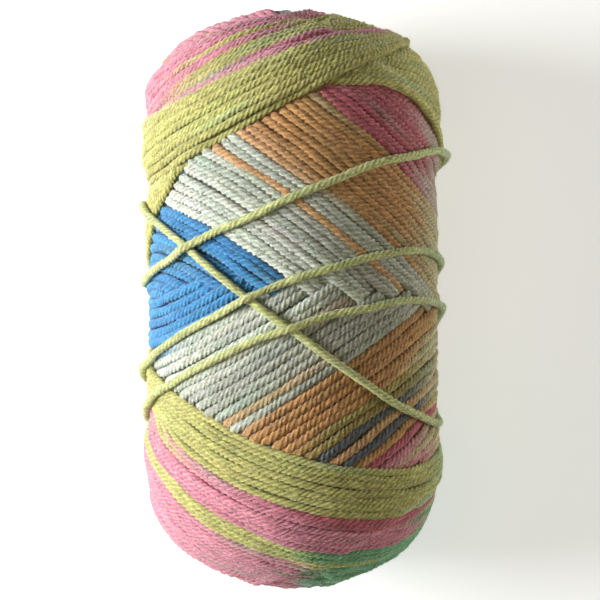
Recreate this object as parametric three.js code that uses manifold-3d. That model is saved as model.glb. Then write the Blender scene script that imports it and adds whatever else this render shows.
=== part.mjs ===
// A centre-pull skein of plied wool yarn, lying on its side.
// One long strand is wound slantwise into a round-ended barrel: slanting turns all over it, a thicker
// swathe of turns over each shoulder, and last a few slack turns that hold everything together. The
// wound form is one solid, because the yarn is one piece.
//
// Millimetres. +Y runs along the skein's axis, towards its rounder end. +Z is up, and the skein rests on
// a narrow flat that its own weight presses into it. The origin is the middle of that flat.
import * as THREE from "three";
import { mergeVertices } from "three/addons/utils/BufferGeometryUtils.js";
import Module from "manifold-3d";

// Driving sizes.
const BARREL_RADIUS = 38.3; // to the outside of the slanting turns
const HALF_LENGTH = 76.4; // from the middle to where each dome of slanting turns would meet the axis
const ROUND_DOME = 26.6; // height of the rounder dome, at +Y
const POINTED_DOME = 31.5; // height of the more pointed dome, at -Y
const AXIS_HEIGHT = 37.8; // of the skein's axis over what it rests on
const SWATHE_RISE = 0.9; // how far a shoulder swathe stands over the slanting turns
const YARN = 2.3; // diameter of the plied strand
const YARN_SINK = 0.3; // how far a slack turn presses into the turns under it

// The drawn-in mouth at each end, where the winder's spindle was.
const MOUTH_RADIUS = 9.0;
const MOUTH_DEPTH = 9.0;

// Every turn lies in a tilted plane: y = middle + across * x + up * (height over the axis).
// The turn that edges each swathe, and the side of that turn which the swathe covers.
const SWATHES = [
  { middle: 25.0, across: 0.34, up: 0.77, side: 1 },
  { middle: -27.0, across: -0.3, up: -0.35, side: -1 },
];
// The slack turns, in the order in which they were laid.
const SLACK_TURNS = [
  { middle: -4.0, across: -0.75, up: -0.12 },
  { middle: -16.9, across: 0.35, up: 0.255 },
  { middle: -5.0, across: 0.38, up: 0.26 },
  { middle: 21.3, across: 0.44, up: 0.12 },
];

// How finely the solid is faceted.
const SIDES = 72;
const MOUTH_RINGS = 4;
const DOME_RINGS = 9;
const TURN_STEPS = 60;
const TURN_SIDES = 6;
const HALVINGS = 30;

const wasm = await Module();
wasm.setup();

// A closed geometry as a solid that can be joined and cut.
function solidOf(geometry) {
  const bare = geometry.clone();
  bare.deleteAttribute("normal");
  bare.deleteAttribute("uv");
  const merged = mergeVertices(bare, 1e-3);
  return new wasm.Manifold(
    new wasm.Mesh({
      numProp: 3,
      vertProperties: merged.attributes.position.array,
      triVerts: new Uint32Array(merged.index.array),
    }),
  );
}

// A solid as a three.js geometry.
function geometryOf(solid) {
  const mesh = solid.getMesh();
  const geometry = new THREE.BufferGeometry();
  geometry.setAttribute("position", new THREE.BufferAttribute(mesh.vertProperties, 3));
  geometry.setIndex(new THREE.BufferAttribute(mesh.triVerts, 1));
  geometry.computeVertexNormals();
  return geometry;
}

// A point (radius, y) of a dome, at an angle from the axis. side is 1 for the +Y end and -1 for the -Y
// end, and rise is how far the form is thickened.
function domePoint(side, angle, rise) {
  const dome = side > 0 ? ROUND_DOME : POINTED_DOME;
  const radius = (BARREL_RADIUS + rise) * Math.sin(angle);
  const height = HALF_LENGTH - dome + (dome + rise) * Math.cos(angle);
  const inMouth = Math.min(1, radius / MOUTH_RADIUS);
  const drawnIn = (MOUTH_DEPTH * (1 + Math.cos(Math.PI * inMouth))) / 2;
  return new THREE.Vector2(radius, side * (height - drawnIn));
}

// One end's outline from the middle of its mouth, over the rim, to its shoulder.
function endOutline(side, rise) {
  const rim = Math.asin(MOUTH_RADIUS / (BARREL_RADIUS + rise));
  const outline = [new THREE.Vector2(0, domePoint(side, 0, rise).y)];
  for (let ring = 1; ring <= MOUTH_RINGS; ring += 1) {
    outline.push(domePoint(side, (rim * ring) / MOUTH_RINGS, rise));
  }
  for (let ring = 1; ring <= DOME_RINGS; ring += 1) {
    outline.push(domePoint(side, THREE.MathUtils.lerp(rim, Math.PI / 2, ring / DOME_RINGS), rise));
  }
  return outline;
}

// The barrel with its domes and mouths, thickened by a rise.
function barrel(rise) {
  const outline = [...endOutline(-1, rise), ...endOutline(1, rise).reverse()];
  return solidOf(new THREE.LatheGeometry(outline, SIDES));
}

// All that lies to one side of a turn's plane.
function halfSpace(plane) {
  const reach = 4 * HALF_LENGTH;
  const geometry = new THREE.BoxGeometry(reach, reach, reach);
  geometry.translate(0, (plane.side * reach) / 2, 0);
  const normal = new THREE.Vector3(-plane.across, 1, -plane.up).normalize();
  const tilt = new THREE.Quaternion().setFromUnitVectors(new THREE.Vector3(0, 1, 0), normal);
  geometry.applyQuaternion(tilt);
  geometry.translate(0, plane.middle, 0);
  return solidOf(geometry);
}

// The slanting turns, with the two swathes over the shoulders.
function woundBody() {
  const thick = barrel(SWATHE_RISE);
  let body = barrel(0);
  for (const plane of SWATHES) body = body.add(thick.intersect(halfSpace(plane)));
  return body;
}

// The radius of the body under a point, swathes included.
function bodyRadius(y, x, z) {
  const covered = SWATHES.some((plane) => {
    const edge = plane.middle + plane.across * x + plane.up * z;
    return plane.side * (y - edge) > -YARN / 2;
  });
  const rise = covered ? SWATHE_RISE : 0;
  const side = Math.sign(y) || 1;
  const dome = side > 0 ? ROUND_DOME : POINTED_DOME;
  const past = Math.max(0, (Math.abs(y) - HALF_LENGTH + dome) / (dome + rise));
  return (BARREL_RADIUS + rise) * Math.sqrt(Math.max(0, 1 - past * past));
}

// Where a turn's plane crosses the body, at an angle from straight up.
function turnPoint(plane, angle) {
  const slope = plane.across * Math.sin(angle) + plane.up * Math.cos(angle);
  let inside = 0;
  let outside = BARREL_RADIUS + SWATHE_RISE + YARN;
  for (let halving = 0; halving < HALVINGS; halving += 1) {
    const radius = (inside + outside) / 2;
    const y = plane.middle + slope * radius;
    if (radius < bodyRadius(y, radius * Math.sin(angle), radius * Math.cos(angle))) inside = radius;
    else outside = radius;
  }
  return new THREE.Vector2(inside, plane.middle + slope * inside);
}

// One slack turn: a closed strand that lies on the body.
function slackTurn(plane) {
  const route = [];
  for (let step = 0; step < TURN_STEPS; step += 1) {
    const angle = (step / TURN_STEPS) * 2 * Math.PI;
    const foot = turnPoint(plane, angle);
    const radius = foot.x + YARN / 2 - YARN_SINK;
    route.push(new THREE.Vector3(radius * Math.sin(angle), foot.y, radius * Math.cos(angle)));
  }
  const path = new THREE.CatmullRomCurve3(route, true);
  return solidOf(new THREE.TubeGeometry(path, TURN_STEPS, YARN / 2, TURN_SIDES, true));
}

// The body and its slack turns joined, and pressed flat where the skein rests.
function woundSkein() {
  let skein = woundBody();
  for (const plane of SLACK_TURNS) skein = skein.add(slackTurn(plane));
  const under = new THREE.BoxGeometry(4 * HALF_LENGTH, 4 * HALF_LENGTH, HALF_LENGTH);
  under.translate(0, 0, -AXIS_HEIGHT - HALF_LENGTH / 2);
  skein = skein.subtract(solidOf(under));
  return geometryOf(skein);
}

const yarn = new THREE.MeshStandardMaterial({ color: 0xcfc99a, roughness: 0.95, metalness: 0 });
const skein = new THREE.Mesh(woundSkein(), yarn);
skein.name = "wound_skein";
skein.position.z = AXIS_HEIGHT;

const part = new THREE.Group();
part.add(skein);
export default part;
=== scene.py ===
# %% [markdown]
# # A skein of variegated yarn
#
# A skein is one strand of plies twisted together, wound slantwise into a round-ended barrel. This
# lesson winds it turn by turn. A height field stands for the surface of the winding so far: each turn is
# laid on it, rests on what is under it, and raises it. Geometry Nodes then ply a real strand along every
# stretch of every turn that still shows.
#
# The other way would be a smooth barrel with the strands painted on as bump. It is lighter, but its
# outline stays smooth, and no strand really lies over another.

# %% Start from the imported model
import math
from collections import namedtuple

import bpy
import numpy as np
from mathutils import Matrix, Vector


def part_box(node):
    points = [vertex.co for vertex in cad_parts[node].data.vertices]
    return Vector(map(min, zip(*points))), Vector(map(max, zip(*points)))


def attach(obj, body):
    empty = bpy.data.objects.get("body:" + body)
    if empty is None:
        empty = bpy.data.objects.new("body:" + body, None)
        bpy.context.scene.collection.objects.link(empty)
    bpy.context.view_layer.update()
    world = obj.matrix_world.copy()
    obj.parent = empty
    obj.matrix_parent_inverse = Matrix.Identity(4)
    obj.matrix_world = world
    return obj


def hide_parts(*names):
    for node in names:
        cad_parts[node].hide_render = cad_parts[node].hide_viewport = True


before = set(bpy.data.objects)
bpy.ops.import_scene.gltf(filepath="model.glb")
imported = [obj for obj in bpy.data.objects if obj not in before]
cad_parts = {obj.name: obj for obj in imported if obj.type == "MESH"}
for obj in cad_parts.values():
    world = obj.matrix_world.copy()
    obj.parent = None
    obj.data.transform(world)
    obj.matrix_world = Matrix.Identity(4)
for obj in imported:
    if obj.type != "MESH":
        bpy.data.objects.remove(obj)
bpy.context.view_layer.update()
low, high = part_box("wound_skein")
MM = 0.001
print("the solid is", [round(side / MM, 1) for side in high - low], "mm")

# %% [markdown]
# ## The yarn and the wound form
#
# The sizes that the strand and the barrel have in common with the solid are named here in millimetres,
# and the rest comes from the solid's box, which the swathes carry a little past the domes. The yarn is
# soft: where it lies on other yarn it is pressed a little flat, so it is wider than it is thick. Fluff is
# what its loose surface adds.

# %% Sizes of the yarn and of the form
YARN = 2.3 * MM
YARN_THICK = 1.9 * MM
YARN_SINK = 0.3 * MM
FLUFF = 0.4 * MM
BARREL_RADIUS = 38.3 * MM
SWATHE_RISE = 0.9 * MM
ROUND_DOME = 26.6 * MM
POINTED_DOME = 31.5 * MM
MOUTH_RADIUS = 9.0 * MM
MOUTH_DEPTH = 9.0 * MM
PAST_DOMES = 0.1 * MM
AXIS_HEIGHT = high.z - BARREL_RADIUS - YARN + YARN_SINK
HALF_LENGTH = (high.y - low.y) / 2 - PAST_DOMES
print("the axis is", round(AXIS_HEIGHT / MM, 1), "mm up, and half the skein is",
      round(HALF_LENGTH / MM, 1), "mm long")

# %% [markdown]
# ## The form as an outline
#
# A wound skein is round, because the winder turns it: a barrel, a dome at each end, and a mouth in each
# dome where the spindle was. So every place on it is an angle round the axis and a distance along the
# outline, from the middle of the rounder end to the middle of the pointed one. A lathe or a Spin would
# give a mesh of it, but the winding is easier to work out on a plain grid of such places, with cells
# about a third as wide as the yarn. No turn comes nearer to the axis than the mouth's wall.

# %% The outline, sampled evenly along its length
CELL = 0.72 * MM
FINE = 1200
MOUTH_WALL = 0.75 * MOUTH_RADIUS


def outline_points():
    """The outline as columns of radius and y, from the +Y middle to the -Y middle."""
    quarter = np.linspace(0, math.pi / 2, FINE)
    halves = []
    for side, dome in ((1, ROUND_DOME), (-1, POINTED_DOME)):
        radius = BARREL_RADIUS * np.sin(quarter)
        height = HALF_LENGTH - dome + dome * np.cos(quarter)
        height -= MOUTH_DEPTH * (1 + np.cos(np.pi * np.minimum(1, radius / MOUTH_RADIUS))) / 2
        halves.append(np.stack([radius, side * height], 1))
    return np.concatenate([halves[0], halves[1][::-1]])


fine = outline_points()
fine_length = np.append(0, np.cumsum(np.hypot(*np.diff(fine, axis=0).T)))
rows = int(fine_length[-1] / CELL)
along = np.linspace(0, fine_length[-1], rows)
radius = np.interp(along, fine_length, fine[:, 0])
level = np.interp(along, fine_length, fine[:, 1])
grow = np.gradient(radius, along)
climb = np.gradient(level, along)
mouth_rows = int(np.argmax(radius > MOUTH_WALL))
columns = int(2 * math.pi * BARREL_RADIUS / CELL)
angle = np.linspace(-math.pi, math.pi, columns, endpoint=False)
print("the outline is", round(fine_length[-1] / MM, 1), "mm long, on a grid of", rows, "by", columns)

# %% [markdown]
# ## Places on the form
#
# A place is a row of the grid, an angle from straight up, and a height over the outline. A soft skein
# lies on a narrow flat that its own weight presses into it. A cut with a box would slice strands open, so
# the flat comes from a soft floor: what would lie below it is pressed up, more gently near its edge.

# %% From a place to a point
FLOOR_GIVE = 0.35 * MM
LOWEST_MIDDLE = YARN_THICK / 2 + FLUFF * 3 / 4


def direction_at(row, angle):
    """The outward direction at a row of the grid, which may lie between two rows."""
    inward = np.interp(row, np.arange(rows), grow)
    out = -np.interp(row, np.arange(rows), climb)
    length = np.hypot(out, inward)
    return np.stack([out * np.sin(angle), inward, out * np.cos(angle)], -1) / length[..., None]


def point_at(row, angle, height):
    """The point at a place, with the floor pressed in."""
    reach = np.interp(row, np.arange(rows), radius)
    point = np.stack([reach * np.sin(angle), np.interp(row, np.arange(rows), level),
                      reach * np.cos(angle)], -1)
    point = point + direction_at(row, angle) * height[..., None]
    point[..., 2] += AXIS_HEIGHT
    over = point[..., 2] - LOWEST_MIDDLE
    point[..., 2] = (over + np.sqrt(over**2 + 4 * FLOOR_GIVE**2)) / 2 + LOWEST_MIDDLE
    return point


underside = point_at(np.array([rows / 2]), np.array([math.pi]), np.zeros(1))
print("the lowest strand's middle is", round(underside[0, 2] / MM, 2), "mm over the floor")

# %% [markdown]
# ## The turns
#
# Every turn lies in a tilted plane, y = middle + across * x + up * (height over the axis). The photo shows
# five families of turns. Two slant opposite ways and meet in chevrons, wound by turns from the middle
# outwards. Two steeper ones lie over the shoulders as swathes, wound from the ends inwards, and a narrower
# band comes out from under the rounder end's swathe. Last come four slack turns. The photo doesn't show
# the ends: there, under the swathes, a rosette of turns passes close by the mouth all the way round.
#
# The turns could be drawn by hand, as 250 curves. Planes do the same with a few numbers: a family is a
# short table of planes, a first and last place in the order of winding, the pitch of its turns, and how
# many of them are laid in one burst before another family goes over them. The swathes are wound tighter
# than the slanting turns.

# %% The families of turns
Plane = namedtuple("Plane", "middle across up")
Family = namedtuple("Family", "planes first last pitch burst")
FAMILIES = {
    "falling": Family([Plane(-68.0, -0.714, 0.218), Plane(68.0, -0.714, 0.218)], -0.74, 0.76, 2.05 * MM, 3),
    "rising": Family([Plane(68.0, 0.62, -0.12), Plane(-68.0, 0.62, -0.12)], -0.74, 0.76, 2.25 * MM, 2),
    "round_band": Family([Plane(56.0, 0.48, 0.15), Plane(25.0, 0.337, 0.767)], 2.0, 2.4, 1.9 * MM, 1),
    "round_swathe": Family(
        [Plane(72.0, 0.45, 0.20), Plane(65.6, 0.48, 0.25), Plane(59.0, 0.36, 0.15),
         Plane(57.0, 0.36, 0.19), Plane(51.3, 0.54, 0.0)],
        2.5, 3.0, 1.9 * MM, 1),
    "pointed_swathe": Family(
        [Plane(-68.6, -0.34, -0.77), Plane(-51.9, -0.40, -0.72), Plane(-27.0, -0.30, -0.35)],
        2.0, 3.0, 1.85 * MM, 1),
}
SLACK = [
    Plane(-4.0, -0.748, -0.122),
    Plane(-16.9, 0.35, 0.255),
    Plane(-5.05, 0.381, 0.2585),
    Plane(21.3, 0.442, 0.122),
]
ROSETTE_TURNS = 34
ROSETTE_MIDDLE = 67.2
ROSETTE_TILT = 0.80
ROSETTE_ORDER = -2
SLACK_ORDER = 5
SLACK_APART = 10
print(len(FAMILIES), "families in the photo,", len(SLACK), "slack turns and", ROSETTE_TURNS,
      "turns in each rosette")

# %% The turns of each family
SPACED_AT = np.radians([-60, 0, 60])
LINE_BLUR = FINE // 20
Turn = namedtuple("Turn", "family number order plane step")


def blurred_line(values):
    """A row of numbers with its small steps evened out."""
    window = np.hanning(LINE_BLUR)
    padded = np.pad(values, len(window) // 2, mode="reflect", reflect_type="odd")
    return np.convolve(padded, window / window.sum(), mode="same")[len(window) // 2:-(len(window) // 2)]


def crossing(plane, turned):
    """How far along the outline a turn lies at an angle from straight up."""
    slope = plane.across * math.sin(turned) + plane.up * math.cos(turned)
    beyond = level - plane.middle * MM - slope * radius
    beyond[:mouth_rows] = 1
    return along[int(np.argmax(beyond < 0))]


def family_turns(name, family):
    """The turns of a family, at most a pitch apart on the side that faces up."""
    knots = np.linspace(0, 1, len(family.planes))
    table = np.array(family.planes)
    shares = np.linspace(0, 1, FINE)
    planes = [Plane(*(np.interp(share, knots, column) for column in table.T)) for share in shares]
    slant = math.hypot(1, table[:, 1].mean())
    moved = [np.abs(np.diff(blurred_line([crossing(plane, turned) for plane in planes])))
             for turned in SPACED_AT]
    travel = np.append(0, np.cumsum(np.max(moved, axis=0))) / slant
    count = round(travel[-1] / family.pitch) + 1
    for number, share in enumerate(np.interp(np.linspace(0, travel[-1], count), travel, shares)):
        plane = Plane(*(np.interp(share, knots, column) for column in table.T))
        begun = (number // family.burst * family.burst + number / FINE) / count
        order = family.first + (family.last - family.first) * begun
        yield Turn(name, number, order, plane, 1 / count)


def rosette_turns(name, side):
    """Turns that pass close by one mouth, their high point a little further round each time."""
    for number in range(ROSETTE_TURNS):
        share = number / ROSETTE_TURNS
        toward = 2 * math.pi * share
        plane = Plane(side * ROSETTE_MIDDLE, side * ROSETTE_TILT * math.sin(toward),
                      side * ROSETTE_TILT * math.cos(toward))
        yield Turn(name, number, ROSETTE_ORDER + share, plane, 1 / ROSETTE_TURNS)


turns = [turn for name, family in FAMILIES.items() for turn in family_turns(name, family)]
turns += rosette_turns("round_rosette", 1)
turns += rosette_turns("pointed_rosette", -1)
turns += [
    Turn("slack", SLACK_APART * number, SLACK_ORDER + number, plane, 1)
    for number, plane in enumerate(SLACK)
]
turns.sort(key=lambda turn: turn.order)
print(len(turns), "turns in", len(FAMILIES) + 3, "families")

# %% [markdown]
# ## The dye
#
# The yarn is dyed in long stretches, so whole groups of turns share a colour and the colour changes
# somewhere along a turn. A stripe pattern over the whole barrel would cross the strands, so the dye is
# worked out along each turn. Each family has a table: up to which turn a row holds, and the dye that shows
# on the far left, left, right and far right of the photo. The back and the underside take the right's. On
# the slanting turns the far right is mostly one pale sand, partly the yarn's colour and partly painted
# light of the lit rim on that side.

# %% Dye colours and where they fall
DYES = {
    "lemon": (0.85, 0.83, 0.51),
    "straw": (0.88, 0.90, 0.62),
    "lime": (0.78, 0.87, 0.66),
    "rose": (0.94, 0.61, 0.68),
    "wine": (0.84, 0.45, 0.51),
    "sky": (0.32, 0.63, 0.86),
    "azure": (0.12, 0.48, 0.74),
    "ivory": (0.90, 0.92, 0.86),
    "mist": (0.84, 0.86, 0.80),
    "ash": (0.79, 0.80, 0.74),
    "mint": (0.66, 0.86, 0.74),
    "leaf": (0.50, 0.77, 0.56),
    "tan": (0.86, 0.65, 0.42),
    "copper": (0.89, 0.70, 0.50),
    "olive": (0.76, 0.69, 0.42),
    "mauve": (0.84, 0.77, 0.72),
    # The next colour is the slanting turns' far right. It is partly the yarn's own and partly painted light
    # of the lit rim.
    "sand_and_rim_light": (0.86, 0.82, 0.64),
    "slate": (0.42, 0.44, 0.46),
    "pewter": (0.66, 0.70, 0.72),
}
Stretch = namedtuple("Stretch", "until far_left left right far_right")
# until is the middle of the last turn of the stretch, in millimetres, in the order of winding.
DYEING = {
    "falling": [
        Stretch(-8.5, "sky", "sky", "azure", "sand_and_rim_light"),
        Stretch(-3.9, "sky", "sky", "mist", "sand_and_rim_light"),
        Stretch(9.0, "ivory", "ivory", "mist", "sand_and_rim_light"),
        Stretch(16.0, "ivory", "mist", "ash", "sand_and_rim_light"),
        Stretch(18.5, "ivory", "copper", "copper", "sand_and_rim_light"),
        Stretch(23.6, "mist", "mist", "ash", "sand_and_rim_light"),
        Stretch(26.0, "mist", "copper", "ash", "sand_and_rim_light"),
        Stretch(28.5, "tan", "copper", "tan", "sand_and_rim_light"),
        Stretch(38.0, "tan", "tan", "tan", "sand_and_rim_light"),
        Stretch(48.5, "rose", "tan", "tan", "sand_and_rim_light"),
        Stretch(51.5, "rose", "tan", "wine", "mauve"),
        Stretch(80.0, "rose", "rose", "wine", "mauve"),
    ],
    "rising": [
        Stretch(10.0, "sky", "sky", "azure", "sand_and_rim_light"),
        Stretch(7.5, "sky", "mist", "mist", "sand_and_rim_light"),
        Stretch(-2.5, "ivory", "ivory", "mist", "sand_and_rim_light"),
        Stretch(-7.5, "ivory", "mist", "mauve", "sand_and_rim_light"),
        Stretch(-15.5, "ivory", "ash", "ash", "sand_and_rim_light"),
        Stretch(-18.3, "copper", "copper", "ash", "sand_and_rim_light"),
        Stretch(-21.0, "copper", "mist", "ash", "sand_and_rim_light"),
        Stretch(-23.6, "tan", "copper", "tan", "sand_and_rim_light"),
        Stretch(-34.0, "tan", "tan", "tan", "sand_and_rim_light"),
        Stretch(-39.5, "tan", "tan", "olive", "sand_and_rim_light"),
        Stretch(-42.0, "slate", "slate", "slate", "sand_and_rim_light"),
        Stretch(-44.7, "tan", "copper", "copper", "sand_and_rim_light"),
        Stretch(-47.3, "slate", "slate", "slate", "sand_and_rim_light"),
        Stretch(-50.0, "tan", "tan", "tan", "sand_and_rim_light"),
        Stretch(-52.5, "rose", "wine", "wine", "sand_and_rim_light"),
        Stretch(-80.0, "rose", "rose", "rose", "sand_and_rim_light"),
    ],
    "round_band": [Stretch(10.0, "lemon", "lemon", "lemon", "lemon")],
    "round_swathe": [
        Stretch(71.4, "rose", "rose", "pewter", "pewter"),
        Stretch(68.4, "rose", "rose", "rose", "lemon"),
        Stretch(66.7, "rose", "lemon", "lemon", "lemon"),
        Stretch(64.5, "rose", "rose", "lemon", "lemon"),
        Stretch(60.4, "rose", "lemon", "lemon", "lemon"),
        Stretch(57.4, "lemon", "rose", "rose", "lemon"),
        Stretch(10.0, "lemon", "lemon", "lemon", "lemon"),
    ],
    "pointed_swathe": [
        Stretch(-62.0, "rose", "rose", "mint", "leaf"),
        Stretch(-50.2, "rose", "rose", "leaf", "leaf"),
        Stretch(-48.6, "rose", "rose", "lemon", "leaf"),
        Stretch(-44.0, "lemon", "lemon", "leaf", "leaf"),
        Stretch(-38.0, "rose", "rose", "rose", "leaf"),
        Stretch(-35.0, "lemon", "rose", "wine", "lime"),
        Stretch(-10.0, "lemon", "lemon", "lemon", "lime"),
    ],
    "round_rosette": [Stretch(80.0, "rose", "pewter", "mint", "leaf")],
    "pointed_rosette": [Stretch(-80.0, "leaf", "rose", "mint", "lemon")],
    "slack": [Stretch(80.0, "straw", "straw", "straw", "lime")],
}
print(len(DYES), "dyes in", sum(len(table) for table in DYEING.values()), "stretches")

# %% The dye along a turn
# Where one dye gives way to the next, as angles from straight up, and the column of the table between.
CHANGES = np.radians([-125, -52, 5, 66, 135])
COLUMN_OF_ZONE = np.array([2, 0, 1, 2, 3, 2])
UNEVEN_CHANGE = math.radians(7)
BLEND_CELLS = 14
MOTTLING = 0.10
FLECKS = 0.8
FLECK_LENGTH = 0.09
FLECK_SHARE = (0.3, 0.8)
FLECK_LIGHT = 0.55
chance = np.random.default_rng(7)


def wander(size, waves):
    """A smooth closed waviness along a turn."""
    phases = chance.uniform(0, 2 * math.pi, waves)
    sizes = chance.normal(0, size / math.sqrt(waves), waves)
    return sum(s * np.sin((3 + 2 * n) * angle + p) for n, (s, p) in enumerate(zip(sizes, phases)))


def linear(color):
    """A colour as seen on a screen, as the amount of light that a shader works with."""
    return tuple(c / 12.92 if c <= 0.04045 else ((c + 0.055) / 1.055) ** 2.4 for c in color)


def turn_dye(turn):
    """The colour along a turn, one row for each angle of the grid."""
    stretches = DYEING[turn.family]
    onward = math.copysign(1, stretches[-1].until - turn.plane.middle)
    spread = abs(FAMILIES[turn.family].planes[-1].middle - FAMILIES[turn.family].planes[0].middle) \
        if turn.family in FAMILIES else 0
    middle = turn.plane.middle + onward * spread * turn.step * angle / (2 * math.pi)
    limits = np.array([stretch.until for stretch in stretches]) * onward
    stretch = np.minimum(np.searchsorted(limits, middle * onward), len(stretches) - 1)
    zone = np.searchsorted(CHANGES + chance.normal(0, UNEVEN_CHANGE, len(CHANGES)), angle)
    colors = np.array([[linear(DYES[name]) for name in entry[1:]] for entry in stretches])
    hard = colors[stretch, COLUMN_OF_ZONE[zone]]
    hard = hard * (1 + wander(MOTTLING, waves=12) + chance.normal(0, MOTTLING / 2))[:, None]
    hard = hard * (1 + np.stack([wander(MOTTLING / 2, waves=12) for _ in range(3)], 1))
    for middle_of_fleck in chance.uniform(-math.pi, math.pi, chance.poisson(FLECKS)):
        away = np.abs((angle - middle_of_fleck + math.pi) % (2 * math.pi) - math.pi)
        fleck = chance.uniform(*FLECK_SHARE) * np.exp(-((away / FLECK_LENGTH) ** 2))[:, None]
        hard = hard * (1 - fleck) + fleck * np.array(linear(DYES["mint"])) * hard.mean() / FLECK_LIGHT
    spokes = np.fft.rfft(hard, axis=0)
    fade = np.exp(-((np.arange(len(spokes)) * math.pi * BLEND_CELLS / columns) ** 2) / 2)
    return np.fft.irfft(spokes * fade[:, None], columns, axis=0)


print("a dye fades into the next over about", round(BLEND_CELLS * CELL / MM), "mm")

# %% [markdown]
# ## Winding
#
# On the real skein each turn is pulled tight over all that was wound before it. For each turn here the
# plane gives a distance from every cell of the grid to the turn. The turn comes to rest on the highest
# thing under its width, is drawn tight so that it bridges hollows the way a taut strand does, and then
# lifts the height field by its own rounded back.
#
# A physics simulation of the whole yarn would come to much the same, but far more slowly. Here a turn
# costs a few array operations.

# %% Where a turn crosses the grid
def distance_to(plane, shift):
    """How far every cell of the grid lies from a turn, and the row where the turn crosses each column."""
    slope = plane.across * np.sin(angle) + plane.up * np.cos(angle)
    turning = plane.across * np.cos(angle) - plane.up * np.sin(angle)
    beyond = level[:, None] - plane.middle * MM - shift - slope * radius[:, None]
    steepness = np.hypot(climb[:, None] - slope * grow[:, None], turning)
    ahead = beyond > 0
    ahead[:mouth_rows] = True
    ahead[rows - mouth_rows:] = False
    row = np.argmin(ahead, axis=0)
    pick = np.arange(columns)
    above, below = beyond[row - 1, pick], beyond[row, pick]
    share = np.clip(above / np.maximum(above - below, 1e-9), 0, 1)
    return beyond / np.maximum(steepness, 1e-3), row - 1 + share


crossed = distance_to(SLACK[0], 0.0)[1]
print("the first slack turn goes from row", round(crossed.min()), "to row", round(crossed.max()))

# %% A turn drawn tight
TIGHTENING = 30


def bow_of(row):
    """How far a straight strand would sink below the form between two samples of a turn."""
    path = point_at(row, angle, np.zeros(columns))
    path[:, 2] = np.interp(row, np.arange(rows), radius) * np.cos(angle)
    bend = np.roll(path, 1, 0) + np.roll(path, -1, 0) - 2 * path
    return np.maximum(0, -np.sum(bend * direction_at(row, angle), 1)) / 2


def tighten(rest, bow):
    """A turn drawn tight over the heights that it rests on."""
    height = rest
    for _ in range(TIGHTENING):
        height = np.maximum(rest, (np.roll(height, 1) + np.roll(height, -1)) / 2 - bow)
    return (np.roll(height, 1) + 2 * height + np.roll(height, -1)) / 4


print("between two cells it bows by up to", round(bow_of(crossed).max() / MM, 3), "mm")

# %% Lay the turns one after another
FOOTPRINT = 0.82
NEIGHBOURS = 4
WINDOW_ROWS = 8
COVERED = 0.75 * MM
SIDEWAYS_WANDER = 0.20 * MM
SIDEWAYS_SHIFT = 0.15 * MM
HEIGHT_WANDER = 0.07 * MM
HEIGHT_SHIFT = 0.08 * MM
Laid = namedtuple("Laid", "turn row height dye")
family_names = sorted({turn.family for turn in turns})
pile = np.zeros((rows, columns))
bed = np.zeros((rows, columns))
top_family = np.full((rows, columns), -1)
top_number = np.zeros((rows, columns), int)
pile_dye = np.full((rows, columns, 3), linear(DYES["mauve"]))


def lay(turn):
    """Lays one turn on the pile, beside the last turns of its own family and on top of all others."""
    shift = wander(SIDEWAYS_WANDER, waves=6) + chance.normal(0, SIDEWAYS_SHIFT)
    distance, row = distance_to(turn.plane, shift)
    beside = np.clip(np.abs(distance) / (YARN / 2), 0, 1)
    beside[np.abs(np.arange(rows)[:, None] - row) > WINDOW_ROWS] = 1
    back = YARN_THICK / 2 * np.sqrt(1 - beside**2)
    family = family_names.index(turn.family)
    alongside = (top_family == family) & (turn.number - top_number <= NEIGHBOURS)
    under = np.where(alongside, bed, pile)
    rest = np.where(beside < FOOTPRINT, under + back, 0).max(axis=0)
    height = tighten(rest, bow_of(row))
    height = height + wander(HEIGHT_WANDER, waves=9) + abs(chance.normal(0, HEIGHT_SHIFT))
    over = (beside < 1) & (height + back > pile)
    bed[over] = under[over]
    pile[over] = (height + back)[over]
    top_family[over] = family
    top_number[over] = turn.number
    dye = turn_dye(turn)
    pile_dye[over] = np.broadcast_to(dye, pile_dye.shape)[over]
    return Laid(turn, row, height, dye)


def sampled(field, row):
    """A field of the grid along a turn."""
    lower = np.clip(row.astype(int), 0, rows - 2)
    share = np.clip(row - lower, 0, 1)
    pick = np.arange(columns)
    return field[lower, pick] * (1 - share) + field[lower + 1, pick] * share


def showing(entry):
    """Where the back of a laid turn is close to the top of the pile."""
    return sampled(pile, entry.row) - entry.height - YARN_THICK / 2 < COVERED


laid = [lay(turn) for turn in turns if turn.family != "slack"]
visible = [showing(entry) for entry in laid]
print("the pile is", np.percentile(pile / MM, [0, 5, 50, 95, 100]).round(2), "mm thick")

# %% [markdown]
# ## Back to the form
#
# The pile is thicker where more families cross, which a real winder evens out as it goes. A Shrinkwrap
# onto the solid would flatten the crossings too. So only the slow part of the unevenness is taken off,
# apart for three parts of the form: beside the swathes, on the pointed end's swathe and the band, and on
# the rounder end's swathe, which lies a little higher because it covers the band. The solid's own shape
# with its raised swathes is put in its place, and the quick part, the strands and their crossings, stays.
# The ends are drawn in a little. Beside the edge of a swathe the turns dip under it, and a strand that
# stands out of the form is pressed in, as a squeezed skein's is.

# %% Blur a field of the grid
LEAST_SHARE = 0.01


def blurred(field, reach):
    """A field of the grid, blurred over a distance along the outline and round the axis."""
    mirrored = np.concatenate([field, field[::-1]])
    along_fade = np.exp(-2 * (math.pi * np.fft.rfftfreq(2 * rows) * reach / CELL) ** 2)
    evened = np.fft.irfft(np.fft.rfft(mirrored, axis=0) * along_fade[:, None], 2 * rows, axis=0)[:rows]
    turns_each = np.arange(columns // 2 + 1) * reach / np.maximum(radius, CELL)[:, None]
    return np.fft.irfft(np.fft.rfft(evened, axis=1) * np.exp(-turns_each**2 / 2), columns, axis=1)


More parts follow.
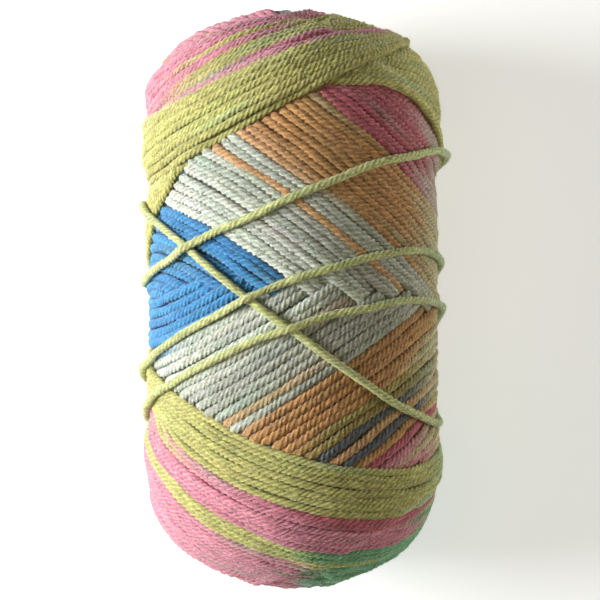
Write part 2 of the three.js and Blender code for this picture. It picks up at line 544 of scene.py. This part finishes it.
def blurred_part(field, part, reach):
    """A field blurred within one part of the form, without what lies outside it."""
    return blurred(field * part, reach) / np.maximum(blurred(part * 1.0, reach), LEAST_SHARE)


rough = pile - blurred(pile, YARN)
print("strands stand out of a pile blurred over their width by", round(rough.std() / MM, 2), "mm")

# %% Even out the large form
EVEN_OUT = 6.0 * MM
EVEN_OUT_ENDS = 2.4 * MM
ENDS = (18.0 * MM, 38.0 * MM)
TOPS_OVER_MEAN = 0.2 * MM
CREASE_DEPTH = 0.8 * MM
CREASE_WIDTH = 2.6 * MM
STANDS_OUT = 0.4 * MM
END_SINK = 1.0 * MM
OVERLAP_RISE = 0.5 * MM
PRESSED_IN = 0.35
CORE_BLUR = 1.0 * MM


def past_edge_of(name, side):
    """How far each cell lies inside a swathe, or outside it as a negative distance."""
    edge = FAMILIES[name].planes[-1]
    slope = edge.across * np.sin(angle) + edge.up * np.cos(angle)
    beyond = side * (level[:, None] - edge.middle * MM - slope * radius[:, None])
    return beyond / np.hypot(1, edge.across) + YARN / 2


def eased(value, start, end):
    """A smooth step from 0 at start to 1 at end."""
    share = np.clip((value - start) / (end - start), 0, 1)
    return share * share * (3 - 2 * share)


def pressed_in(height, form):
    """A height over the outline, with what stands out of the form pressed in."""
    over = height - form - STANDS_OUT + YARN_THICK / 2
    return height - np.maximum(over, 0) * (1 - PRESSED_IN)


from_end = np.minimum(along, along[-1] - along)
middle_part = eased(from_end, *ENDS)[:, None]
past_top_edge = past_edge_of("round_swathe", 1)
past_edge = np.max([past_top_edge, past_edge_of("round_band", 1), past_edge_of("pointed_swathe", -1)], 0)
on_top = past_top_edge > 0
in_swathe = (past_edge > 0) & ~on_top
form = np.where(past_edge > 0, SWATHE_RISE, 0) + on_top * OVERLAP_RISE * middle_part
form -= (1 - middle_part) * END_SINK
crease = (past_edge <= 0) * np.exp(-((past_edge / CREASE_WIDTH) ** 2))
crease += in_swathe * np.exp(-((past_top_edge / CREASE_WIDTH) ** 2))
settle = form - TOPS_OVER_MEAN - CREASE_DEPTH * crease
for part in (past_edge <= 0, in_swathe, on_top):
    evened = middle_part * blurred_part(pile, part, EVEN_OUT)
    evened += (1 - middle_part) * blurred_part(pile, part, EVEN_OUT_ENDS)
    settle[part] -= evened[part]
print("the form was settled by", round(-settle.max() / MM, 2), "to", round(-settle.min() / MM, 2), "mm")
pile = pressed_in(pile + settle - YARN_THICK / 2, form) + YARN_THICK / 2
laid = [
    entry._replace(height=pressed_in(entry.height + sampled(settle, entry.row), sampled(form, entry.row)))
    for entry in laid
]
under_strands = blurred(pile, CORE_BLUR)

# %% [markdown]
# ## The slack turns
#
# The last few turns are laid loosely over the finished form, and hold the rest together. They are laid
# after the evening out, so that they keep their full height over it. A curve drawn on the surface would
# cut through the other slack turns where they cross; laid as turns, each rests on the ones before.

# %% Lay the slack turns
slack = [lay(turn) for turn in turns if turn.family == "slack"]
laid += slack
visible += [showing(entry) for entry in slack]
print(len(slack), "slack turns, up to", round(max(entry.height.max() for entry in slack) / MM, 2),
      "mm over the outline")

# %% [markdown]
# ## What shows
#
# Most of the yarn is buried. Plying all of it would take more than twice the faces for the same picture,
# so a stretch is kept only where its back is close to the top of the pile, and a little beyond, which
# tucks its ends under what covers it.

# %% Keep the stretches that show
TUCK_CELLS = 5
SHORTEST_RUN = 5
Run = namedtuple("Run", "family points outward dye start")


def runs_of(entry, shows):
    """The stretches of a laid turn that show, as runs of points."""
    for _ in range(TUCK_CELLS):
        shows = shows | np.roll(shows, 1) | np.roll(shows, -1)
    points = point_at(entry.row, angle, entry.height)
    outward = direction_at(entry.row, angle)
    start = chance.uniform(0, 2 * math.pi)
    if shows.all():
        wrap = np.append(np.arange(columns), [0, 1])
        return [Run(entry.turn.family, points[wrap], outward[wrap], entry.dye[wrap], start)]
    first = int(np.argmin(shows))
    order = (np.arange(columns) + first) % columns
    edges = np.flatnonzero(np.diff(np.append(np.insert(shows[order].astype(int), 0, 0), 0)))
    return [
        Run(entry.turn.family, points[order[a:b]], outward[order[a:b]], entry.dye[order[a:b]], start)
        for a, b in zip(edges[::2], edges[1::2]) if b - a >= SHORTEST_RUN
    ]


runs = [run for entry, shows in zip(laid, visible) for run in runs_of(entry, shows)]


def length_of(run):
    """The length of a run in metres."""
    return float(np.linalg.norm(np.diff(run.points, axis=0), axis=1).sum())


shown = sum(length_of(run) for run in runs)
print(len(runs), "stretches show,", round(shown, 1), "m of yarn")

# %% [markdown]
# ## Plying the strand
#
# A strand is plies twisted together. A helix for each ply would be one way, with more than twice the
# faces. Here Geometry Nodes sweep a lobed section along each run and turn it steadily, which draws the ply
# lines as true grooves. In the photo the humps of the plies lie 1.7 mm apart and lean to the left of the
# strand by about 36 degrees: four lobes that go round once in 6.8 mm, turning to the left.
#
# Each point of the run carries the direction away from the barrel, so the strand can be pressed flat
# against what it lies on. The twist and the width vary a little along it, and a fine noise makes it tufty.
# The tree has named inputs for the yarn's sizes and ends in Realize Instances and Set Material.

# %% Helpers that build node trees
def node(tree, kind, **settings):
    """Adds a node with its settings."""
    made = tree.nodes.new(kind)
    for key, value in settings.items():
        setattr(made, key, value)
    return made


def feed(tree, socket, value):
    """Joins a socket to an output, or gives it a plain value."""
    if isinstance(value, bpy.types.NodeSocket):
        tree.links.new(value, socket)
    else:
        socket.default_value = value


def math_node(tree, operation, *values):
    """A Math node and its output."""
    made = node(tree, "ShaderNodeMath", operation=operation)
    for socket, value in zip(made.inputs, values):
        feed(tree, socket, value)
    return made.outputs[0]


def vector_node(tree, operation, *values, scale=None):
    """A Vector Math node and its output."""
    made = node(tree, "ShaderNodeVectorMath", operation=operation)
    for socket, value in zip(made.inputs, values):
        feed(tree, socket, value)
    if scale is not None:
        feed(tree, made.inputs["Scale"], scale)
    return made.outputs["Value" if operation == "DOT_PRODUCT" else "Vector"]


def named(tree, name, data_type):
    """The output of a Named Attribute node."""
    made = node(tree, "GeometryNodeInputNamedAttribute", data_type=data_type)
    made.inputs["Name"].default_value = name
    return made.outputs["Attribute"]


def stored(tree, geometry, name, data_type, value):
    """Stores an attribute on the points of a geometry."""
    made = node(tree, "GeometryNodeStoreNamedAttribute", data_type=data_type, domain="POINT")
    tree.links.new(geometry, made.inputs["Geometry"])
    made.inputs["Name"].default_value = name
    feed(tree, made.inputs["Value"], value)
    return made.outputs["Geometry"]


def new_tree(name, sizes):
    """A geometry tree with a named input for each size."""
    tree = bpy.data.node_groups.new(name, "GeometryNodeTree")
    tree.interface.new_socket("Geometry", in_out="INPUT", socket_type="NodeSocketGeometry")
    tree.interface.new_socket("Geometry", in_out="OUTPUT", socket_type="NodeSocketGeometry")
    for size, kind in sizes.items():
        tree.interface.new_socket(size, in_out="INPUT", socket_type=kind)
    return tree, node(tree, "NodeGroupInput"), node(tree, "NodeGroupOutput")


print("helpers for nodes, sockets, attributes and trees")

# %% The section of the plies
SECTION_POINTS = 12
PLIES = 4
GROOVE_SHARPNESS = 2.0


def ply_section(tree, depth):
    """The lobed section of the plies, one unit in radius."""
    circle = node(tree, "GeometryNodeCurvePrimitiveCircle", mode="RADIUS")
    circle.inputs["Resolution"].default_value = SECTION_POINTS
    circle.inputs["Radius"].default_value = 1.0
    where = node(tree, "GeometryNodeSplineParameter").outputs["Factor"]
    lobes = math_node(tree, "COSINE", math_node(tree, "MULTIPLY", where, 2 * math.pi * PLIES))
    groove = math_node(tree, "MULTIPLY_ADD", lobes, -0.5, 0.5)
    cut = math_node(tree, "MULTIPLY", math_node(tree, "POWER", groove, GROOVE_SHARPNESS), depth)
    position = node(tree, "GeometryNodeInputPosition").outputs[0]
    shaped = node(tree, "GeometryNodeSetPosition")
    curve = stored(tree, circle.outputs["Curve"], "groove", "FLOAT", groove)
    tree.links.new(curve, shaped.inputs["Geometry"])
    feed(tree, shaped.inputs["Position"], vector_node(
        tree, "SCALE", position, scale=math_node(tree, "SUBTRACT", 1.0, cut)))
    return shaped.outputs["Geometry"]


print("a strand's section has", SECTION_POINTS, "points and", PLIES, "lobes")

# %% [markdown]
# ## Loose fibres
#
# Wool is spun from short hairs, and some of their ends stand off the strand. Blender's hair curves would
# do for a picture, but they are not a mesh, so here each end is a thin closed spike of three sides.
# Spikes are scattered on the outer side of the strands only, and none near the floor.

# %% Scatter loose fibres
FIBRE_SEED = 3
FIBRE_LEAN = 1.45
FIBRE_SIDES = 3
SHORTEST_FIBRE = 0.4
FIBRES_OVER_FLOOR = 3.0 * MM


def fibres(tree, given, strand, outward):
    """Short loose fibres that stand off a strand, each a thin closed spike."""
    normal = node(tree, "GeometryNodeInputNormal").outputs[0]
    scatter = node(tree, "GeometryNodeDistributePointsOnFaces", distribute_method="RANDOM")
    tree.links.new(strand, scatter.inputs["Mesh"])
    height = node(tree, "ShaderNodeSeparateXYZ")
    tree.links.new(node(tree, "GeometryNodeInputPosition").outputs[0], height.inputs[0])
    free = math_node(tree, "GREATER_THAN", height.outputs["Z"], FIBRES_OVER_FLOOR)
    outer = math_node(tree, "GREATER_THAN", vector_node(tree, "DOT_PRODUCT", normal, outward), 0.0)
    feed(tree, scatter.inputs["Selection"], math_node(tree, "MULTIPLY", free, outer))
    tree.links.new(given.outputs["Fibres"], scatter.inputs["Density"])
    scatter.inputs["Seed"].default_value = FIBRE_SEED
    spike = node(tree, "GeometryNodeMeshCone", fill_type="NGON")
    for name, value in (("Vertices", FIBRE_SIDES), ("Side Segments", 1), ("Fill Segments", 1),
                        ("Radius Top", 0.0), ("Radius Bottom", 0.5), ("Depth", 1.0)):
        spike.inputs[name].default_value = value
    lean = node(tree, "FunctionNodeRandomValue", data_type="FLOAT_VECTOR")
    lean.inputs[0].default_value = (-FIBRE_LEAN, -FIBRE_LEAN, -math.pi)
    lean.inputs[1].default_value = (FIBRE_LEAN, FIBRE_LEAN, math.pi)
    turned = node(tree, "FunctionNodeEulerToRotation")
    tree.links.new(lean.outputs[0], turned.inputs[0])
    rotated = node(tree, "FunctionNodeRotateRotation", rotation_space="LOCAL")
    tree.links.new(scatter.outputs["Rotation"], rotated.inputs[0])
    tree.links.new(turned.outputs[0], rotated.inputs[1])
    length = node(tree, "FunctionNodeRandomValue", data_type="FLOAT")
    feed(tree, length.inputs[2], math_node(
        tree, "MULTIPLY", given.outputs["Fibre length"], SHORTEST_FIBRE))
    tree.links.new(given.outputs["Fibre length"], length.inputs[3])
    size = node(tree, "ShaderNodeCombineXYZ")
    tree.links.new(given.outputs["Fibre width"], size.inputs["X"])
    tree.links.new(given.outputs["Fibre width"], size.inputs["Y"])
    tree.links.new(length.outputs[1], size.inputs["Z"])
    placed = node(tree, "GeometryNodeInstanceOnPoints")
    tree.links.new(scatter.outputs["Points"], placed.inputs["Points"])
    tree.links.new(spike.outputs["Mesh"], placed.inputs["Instance"])
    tree.links.new(rotated.outputs[0], placed.inputs["Rotation"])
    tree.links.new(size.outputs[0], placed.inputs["Scale"])
    return placed.outputs["Instances"]


print("a fibre is a spike of", FIBRE_SIDES, "sides, at least", SHORTEST_FIBRE, "of the full length")

# %% The tree that plies a strand
UNEVEN_TWIST = 2.5
UNEVEN_WIDTH = 0.12
UNEVEN_REACH = 5.0 * MM
TUFT = 0.9 * MM
TUFTED = 0.5


def ply_tree():
    """The tree that turns polylines into plied strands with their loose fibres."""
    tree, given, result = new_tree("ply the yarn", {
        "Width": "NodeSocketFloat",
        "Thickness": "NodeSocketFloat",
        "Twist length": "NodeSocketFloat",
        "Ply depth": "NodeSocketFloat",
        "Step": "NodeSocketFloat",
        "Fibres": "NodeSocketFloat",
        "Fibre length": "NodeSocketFloat",
        "Fibre width": "NodeSocketFloat",
        "Material": "NodeSocketMaterial",
    })
    curves = node(tree, "GeometryNodeMeshToCurve")
    tree.links.new(given.outputs["Geometry"], curves.inputs["Mesh"])
    even = node(tree, "GeometryNodeResampleCurve", mode="LENGTH")
    tree.links.new(curves.outputs["Curve"], even.inputs["Curve"])
    tree.links.new(given.outputs["Step"], even.inputs["Length"])
    outward = named(tree, "outward", "FLOAT_VECTOR")
    facing = node(tree, "GeometryNodeSetCurveNormal", mode="FREE")
    tree.links.new(even.outputs["Curve"], facing.inputs["Curve"])
    tree.links.new(outward, facing.inputs["Normal"])
    travelled = node(tree, "GeometryNodeSplineParameter").outputs["Length"]
    twist = math_node(tree, "MULTIPLY", math_node(
        tree, "DIVIDE", travelled, given.outputs["Twist length"]), -2 * math.pi)
    uneven = node(tree, "ShaderNodeTexNoise", noise_dimensions="3D")
    uneven.inputs["Scale"].default_value = 1 / UNEVEN_REACH
    uneven.inputs["Detail"].default_value = 1.0
    uneven = uneven.outputs["Fac"]
    twist = math_node(tree, "ADD", twist, math_node(tree, "MULTIPLY", uneven, UNEVEN_TWIST))
    twisted = node(tree, "GeometryNodeSetCurveTilt")
    tree.links.new(facing.outputs["Curve"], twisted.inputs["Curve"])
    feed(tree, twisted.inputs["Tilt"], math_node(tree, "ADD", twist, named(tree, "start", "FLOAT")))
    position = node(tree, "GeometryNodeInputPosition").outputs[0]
    curve = stored(tree, twisted.outputs["Curve"], "middle", "FLOAT_VECTOR", position)
    curve = stored(tree, curve, "travelled", "FLOAT", travelled)
    swept = node(tree, "GeometryNodeCurveToMesh")
    tree.links.new(curve, swept.inputs["Curve"])
    tree.links.new(ply_section(tree, given.outputs["Ply depth"]), swept.inputs["Profile Curve"])
    swelling = math_node(tree, "MULTIPLY_ADD", uneven, UNEVEN_WIDTH, 0.5 - UNEVEN_WIDTH / 2)
    feed(tree, swept.inputs["Scale"], math_node(tree, "MULTIPLY", given.outputs["Width"], swelling))
    swept.inputs["Fill Caps"].default_value = True
    lean = vector_node(tree, "SUBTRACT", position, named(tree, "middle", "FLOAT_VECTOR"))
    marked = stored(tree, swept.outputs["Mesh"], "lean", "FLOAT_VECTOR", lean)
    out = vector_node(tree, "DOT_PRODUCT", lean, outward)
    squeeze = math_node(tree, "SUBTRACT", math_node(
        tree, "DIVIDE", given.outputs["Thickness"], given.outputs["Width"]), 1.0)
    pressed = node(tree, "GeometryNodeSetPosition")
    tree.links.new(marked, pressed.inputs["Geometry"])
    flat = vector_node(tree, "SCALE", outward, scale=math_node(tree, "MULTIPLY", out, squeeze))
    tufts = node(tree, "ShaderNodeTexNoise", noise_dimensions="3D")
    tufts.inputs["Scale"].default_value = 1 / TUFT
    tufts.inputs["Detail"].default_value = 1.0
    rough = math_node(tree, "MULTIPLY_ADD", tufts.outputs["Fac"], TUFTED, -TUFTED / 2)
    feed(tree, pressed.inputs["Offset"], vector_node(
        tree, "ADD", flat, vector_node(tree, "SCALE", lean, scale=rough)))
    together = node(tree, "GeometryNodeJoinGeometry")
    tree.links.new(fibres(tree, given, pressed.outputs["Geometry"], outward), together.inputs[0])
    tree.links.new(pressed.outputs["Geometry"], together.inputs[0])
    realized = node(tree, "GeometryNodeRealizeInstances")
    tree.links.new(together.outputs["Geometry"], realized.inputs["Geometry"])
    finished = node(tree, "GeometryNodeSetMaterial")
    tree.links.new(realized.outputs["Geometry"], finished.inputs["Geometry"])
    tree.links.new(given.outputs["Material"], finished.inputs["Material"])
    tree.links.new(finished.outputs["Geometry"], result.inputs["Geometry"])
    return tree


plying = ply_tree()
print("the plying tree has", len(plying.nodes), "nodes")

# %% [markdown]
# ## The yarn's finish
#
# The dye comes from the strand's own attribute; on the skin underneath it carries painted shade, and on
# the slanting turns' far right partly painted light. The fibres of a ply run nearly along the strand, so a
# noise stretched along it gives streaks of lighter and darker fibre, and the same noise as bump gives the
# fine fuzz. A slower noise makes tufts of it. The grooves between plies are darker, because little light
# gets out of them. Wool has no gloss, but loose fibres catch light at a slant, which is what sheen is for.
# A picture of yarn laid over the barrel would repeat and wouldn't follow the strands.

# %% The yarn material
STREAK_LENGTH = 0.75 * MM
STREAK_WIDTH = 0.28 * MM
STREAK_SHADE = (2.2, -0.1)
TUFT_SHADE = (1.0, 0.5)
GROOVE_SHADE = -0.45
BUMP_HEIGHT = 0.35 * MM
LIGHT_REACH = 0.45 * MM
START_SPREAD = 40.0


def yarn_material():
    """Dyed plied yarn."""
    material = bpy.data.materials.new("dyed_yarn")
    material.use_nodes = True
    tree = material.node_tree
    shader = tree.nodes["Principled BSDF"]
    shader.inputs["Roughness"].default_value = 0.92
    shader.inputs["Sheen Weight"].default_value = 0.3
    shader.inputs["Sheen Roughness"].default_value = 0.55
    shader.inputs["Specular IOR Level"].default_value = 0.18
    shader.inputs["Subsurface Weight"].default_value = 0.5
    shader.inputs["Subsurface Radius"].default_value = (1.0, 0.8, 0.6)
    shader.inputs["Subsurface Scale"].default_value = LIGHT_REACH
    dye = node(tree, "ShaderNodeAttribute", attribute_name="dye")
    groove = node(tree, "ShaderNodeAttribute", attribute_name="groove")
    lean = node(tree, "ShaderNodeAttribute", attribute_name="lean")
    travelled = node(tree, "ShaderNodeAttribute", attribute_name="travelled")
    start = node(tree, "ShaderNodeAttribute", attribute_name="start")
    lengthwise = node(tree, "ShaderNodeCombineXYZ")
    feed(tree, lengthwise.inputs["Z"], math_node(
        tree, "MULTIPLY", travelled.outputs["Fac"], 1 / STREAK_LENGTH))
    feed(tree, lengthwise.inputs["X"], math_node(
        tree, "MULTIPLY", start.outputs["Fac"], START_SPREAD))
    spot = vector_node(tree, "ADD", vector_node(
        tree, "SCALE", lean.outputs["Vector"], scale=1 / STREAK_WIDTH), lengthwise.outputs[0])
    streaks = node(tree, "ShaderNodeTexNoise")
    streaks.inputs["Scale"].default_value = 1.0
    streaks.inputs["Detail"].default_value = 3.0
    tree.links.new(spot, streaks.inputs["Vector"])
    tufts = node(tree, "ShaderNodeTexNoise")
    tufts.inputs["Scale"].default_value = STREAK_WIDTH / TUFT
    tufts.inputs["Detail"].default_value = 1.0
    tree.links.new(spot, tufts.inputs["Vector"])
    shade = math_node(tree, "MULTIPLY", math_node(
        tree, "MULTIPLY_ADD", streaks.outputs["Fac"], *STREAK_SHADE), math_node(
        tree, "MULTIPLY_ADD", tufts.outputs["Fac"], *TUFT_SHADE))
    depth = math_node(tree, "MULTIPLY_ADD", groove.outputs["Fac"], GROOVE_SHADE, 1.0)
    color = vector_node(tree, "SCALE", dye.outputs["Color"], scale=math_node(
        tree, "MULTIPLY", shade, depth))
    tree.links.new(color, shader.inputs["Base Color"])
    bump = node(tree, "ShaderNodeBump")
    bump.inputs["Strength"].default_value = 1.0
    bump.inputs["Distance"].default_value = BUMP_HEIGHT
    tree.links.new(streaks.outputs["Fac"], bump.inputs["Height"])
    tree.links.new(bump.outputs["Normal"], shader.inputs["Normal"])
    return material


yarn_finish = yarn_material()
print("the yarn's finish is", yarn_finish.name)

# %% [markdown]
# ## The strands as pieces
#
# Each family becomes its own piece, and a long family becomes several, so that none has too many faces.
# The runs could go in as curve objects, but a mesh of edges takes hundreds of them at once, together with
# the attributes that the tree reads. The evaluated result comes back as a plain mesh. The slack turns are
# narrower, smoother and fuzzier than the rest, and the swathes' turns a little narrower.

# %% How each family looks
Look = namedtuple("Look", "spread ply_depth fibres")
LOOKS = {
    "slack": Look(0.78, 0.30, 1.2 / MM**2),
    "round_swathe": Look(0.85, 0.50, 0.40 / MM**2),
    "pointed_swathe": Look(0.85, 0.50, 0.40 / MM**2),
}
PLAIN_LOOK = Look(1.0, 0.50, 0.40 / MM**2)
TWIST_LENGTH = 6.8 * MM
PRESSED_WIDER = 1.08
WIDTH = PRESSED_WIDER * (YARN + FLUFF)
THICKNESS = YARN_THICK + FLUFF / 2
STEP = 0.84 * MM
MOST_LENGTH = 4.4
FIBRE_LENGTH = 1.5 * MM
FIBRE_WIDTH = 0.05 * MM
print("a strand is", round(WIDTH / MM, 2), "mm wide and", round(THICKNESS / MM, 2), "mm thick")

# %% From runs to edges, and from edges to a plain mesh
def polylines(name, members):
    """The runs as an object with edges only."""
    counts = [len(run.points) for run in members]
    ends = np.cumsum(counts)
    index = np.arange(ends[-1] - 1)
    edges = np.stack([index, index + 1], 1)[~np.isin(index + 1, ends[:-1])]
    mesh = bpy.data.meshes.new(name)
    mesh.from_pydata(np.concatenate([run.points for run in members]), edges.tolist(), [])
    outward = mesh.attributes.new("outward", "FLOAT_VECTOR", "POINT")
    outward.data.foreach_set("vector", np.concatenate([run.outward for run in members]).ravel())
    dye = mesh.attributes.new("dye", "FLOAT_COLOR", "POINT")
    colors = np.concatenate([run.dye for run in members])
    dye.data.foreach_set("color", np.insert(colors, 3, 1, axis=1).ravel())
    start = mesh.attributes.new("start", "FLOAT", "POINT")
    start.data.foreach_set("value", np.repeat([run.start for run in members], counts))
    made = bpy.data.objects.new(name, mesh)
    bpy.context.scene.collection.objects.link(made)
    return made


def applied(made, tree, sizes):
    """Runs a tree on an object and leaves the result as its plain mesh."""
    modifier = made.modifiers.new(tree.name, "NODES")
    modifier.node_group = tree
    sockets = {item.name: item.identifier for item in tree.interface.items_tree
               if item.in_out == "INPUT"}
    for name, value in sizes.items():
        modifier[sockets[name]] = value
    depsgraph = bpy.context.evaluated_depsgraph_get()
    plain = bpy.data.meshes.new_from_object(made.evaluated_get(depsgraph))
    made.modifiers.clear()
    made.data = plain
    plain.polygons.foreach_set("use_smooth", [True] * len(plain.polygons))
    plain.update()
    return made


def triangles(made):
    """How many triangles a piece has."""
    return sum(len(face.vertices) - 2 for face in made.data.polygons)


print("the longest stretch is", round(max(length_of(run) for run in runs) / MM), "mm")

# %% Ply the runs of each family
def groups_of(members):
    """Splits runs into groups that are short enough for one piece."""
    groups, length = [[]], 0.0
    for run in members:
        if length + length_of(run) > MOST_LENGTH:
            groups.append([])
            length = 0.0
        groups[-1].append(run)
        length += length_of(run)
    return groups


strands = []
for family in sorted({run.family for run in runs}):
    members = [run for run in runs if run.family == family]
    look = LOOKS.get(family, PLAIN_LOOK)
    for number, group in enumerate(groups_of(members), 1):
        piece = applied(polylines(f"{family}_turns_{number}", group), plying, {
            "Width": WIDTH * look.spread, "Thickness": THICKNESS,
            "Twist length": TWIST_LENGTH, "Ply depth": look.ply_depth,
            "Step": STEP, "Fibres": look.fibres, "Fibre length": FIBRE_LENGTH,
            "Fibre width": FIBRE_WIDTH, "Material": yarn_finish,
        })
        strands.append(piece)
        print(piece.name, len(group), "runs", triangles(piece), "triangles")

# %% [markdown]
# ## The yarn underneath
#
# Between two strands one looks down on the turns below. Plied strands there would hardly be seen, so they
# are drawn as one closed skin just under the top ones, in the colour of what lies over it darkened as
# painted shade, for the shade between the strands. No gap opens onto nothing, and the mouths get a bottom.

# %% The skin under the strands
CORE_DEPTH = 1.35 * MM
CORE_PAINTED_SHADE = 0.55
COARSER = 3


def core_surface():
    """A closed skin under the strands."""
    inner = np.arange(1, rows - 1, COARSER)
    spokes = np.arange(0, columns - columns % COARSER, COARSER)
    row = np.repeat(inner[:, None], len(spokes), 1).astype(float)
    turn = np.repeat(angle[spokes][None], len(inner), 0)
    height = under_strands[np.ix_(inner, spokes)] - CORE_DEPTH
    skin = point_at(row, turn, height).reshape(-1, 3)
    poles = point_at(np.array([0.0, rows - 1.0]), np.zeros(2), np.full(2, -CORE_DEPTH))
    poles[:, 0] = 0
    points = np.concatenate([skin, poles])
    width, depth = len(spokes), len(inner)
    faces = []
    for line in range(depth - 1):
        for spoke in range(width):
            a, b = line * width + spoke, line * width + (spoke + 1) % width
            faces.append((a, b, b + width, a + width))
    for spoke in range(width):
        after = (spoke + 1) % width
        faces.append((depth * width, after, spoke))
        faces.append((depth * width + 1, (depth - 1) * width + spoke, (depth - 1) * width + after))
    mesh = bpy.data.meshes.new("underlying_turns")
    mesh.from_pydata(points, [], faces)
    colors = pile_dye[np.ix_(inner, spokes)].reshape(-1, 3)
    # The skin takes the colour over it darkened by a painted shade, for the shade that falls between the
    # strands.
    colors = np.concatenate([colors, colors[[0, -1]]]) * CORE_PAINTED_SHADE
    dye = mesh.attributes.new("dye", "FLOAT_COLOR", "POINT")
    dye.data.foreach_set("color", np.insert(colors, 3, 1, axis=1).ravel())
    mesh.polygons.foreach_set("use_smooth", [True] * len(faces))
    mesh.materials.append(yarn_finish)
    made = bpy.data.objects.new("underlying_turns", mesh)
    bpy.context.scene.collection.objects.link(made)
    return made


core = core_surface()
print(core.name, triangles(core), "triangles")

# %% [markdown]
# ## The floor, the light and the camera
#
# The photo is a cut-out, lit softly from the left, with the right side in shade. The skein lies on a pale
# floor and the camera looks straight down on it, which shows it face on as in the photo. It could stand
# upright before a wall instead, but a real one rolls over and lies. A large soft lamp low on the left is
# the main light. A weak warm one above and a low one on the right keep the shade from going black, and
# the floor glows a little, so that it stays as pale as the photo's ground.

# %% The floor
FLOOR_SIZE = 3.0
FLOOR_GREY = 0.88
FLOOR_GLOW = 0.50


def floor_plane():
    """A plain pale floor."""
    mesh = bpy.data.meshes.new("floor")
    reach = FLOOR_SIZE / 2
    corners = [(-reach, -reach, 0), (reach, -reach, 0), (reach, reach, 0), (-reach, reach, 0)]
    mesh.from_pydata(corners, [], [(0, 1, 2, 3)])
    material = bpy.data.materials.new("pale_floor")
    material.use_nodes = True
    shader = material.node_tree.nodes["Principled BSDF"]
    shader.inputs["Base Color"].default_value = (FLOOR_GREY, FLOOR_GREY, FLOOR_GREY, 1)
    shader.inputs["Emission Color"].default_value = (1, 1, 1, 1)
    shader.inputs["Emission Strength"].default_value = FLOOR_GLOW
    shader.inputs["Roughness"].default_value = 0.9
    mesh.materials.append(material)
    made = bpy.data.objects.new("floor", mesh)
    bpy.context.scene.collection.objects.link(made)
    return made


floor = floor_plane()
print("the", floor.name, "is", FLOOR_SIZE, "m across")

# %% The lights
Lamp = namedtuple("Lamp", "place size watts color")
LAMPS = {
    "key": Lamp((-0.66, 0.03, 0.38), 0.35, 8.0, (0.97, 0.99, 1.0)),
    "fill": Lamp((-0.18, -0.20, 0.93), 0.6, 1.0, (1.0, 0.92, 0.62)),
    "rim": Lamp((0.60, 0.05, 0.05), 0.20, 1.3, (1.0, 0.97, 0.86)),
}
SKY_COLOR = (1.0, 0.95, 0.80, 1)
SKY_STRENGTH = 0.10
aim = Vector((0, 0, AXIS_HEIGHT))
for name, lamp in LAMPS.items():
    data = bpy.data.lights.new(name, "AREA")
    data.size = lamp.size
    data.energy = lamp.watts
    data.color = lamp.color
    made = bpy.data.objects.new(name, data)
    made.location = lamp.place
    toward = aim - made.location
    made.rotation_euler = toward.to_track_quat("-Z", "Y").to_euler()
    bpy.context.scene.collection.objects.link(made)
world = bpy.data.worlds.new("studio")
world.use_nodes = True
world.node_tree.nodes["Background"].inputs["Color"].default_value = SKY_COLOR
world.node_tree.nodes["Background"].inputs["Strength"].default_value = SKY_STRENGTH
bpy.context.scene.world = world
print(len(LAMPS), "lamps and a plain studio sky")

# %% The camera
PICTURE_WIDTH = 600
SKEIN_MIDDLE_PIXEL = (293.3, 299.0)
SCALE = 0.266 * MM
CAMERA_DISTANCE = 0.75
SENSOR_WIDTH = 36.0
camera_data = bpy.data.cameras.new("camera")
camera_data.sensor_width = SENSOR_WIDTH
camera_data.lens = camera_data.sensor_width * CAMERA_DISTANCE / (PICTURE_WIDTH * SCALE)
camera = bpy.data.objects.new("camera", camera_data)
half_picture = PICTURE_WIDTH / 2
camera.location = (
    (half_picture - SKEIN_MIDDLE_PIXEL[0]) * SCALE,
    (SKEIN_MIDDLE_PIXEL[1] - half_picture) * SCALE,
    AXIS_HEIGHT + CAMERA_DISTANCE,
)
bpy.context.scene.collection.objects.link(camera)
bpy.context.scene.camera = camera
bpy.context.scene.view_settings.view_transform = "Standard"
print("the lens is", round(camera_data.lens), "mm")

# %% [markdown]
# ## Handing over
#
# Every piece rides on the only body, and together they stand for the solid.

# %% Ride and replace
for piece in [*strands, core]:
    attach(piece, "root")
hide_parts("wound_skein")
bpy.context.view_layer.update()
print("triangles in all:", sum(triangles(piece) for piece in [*strands, core]))
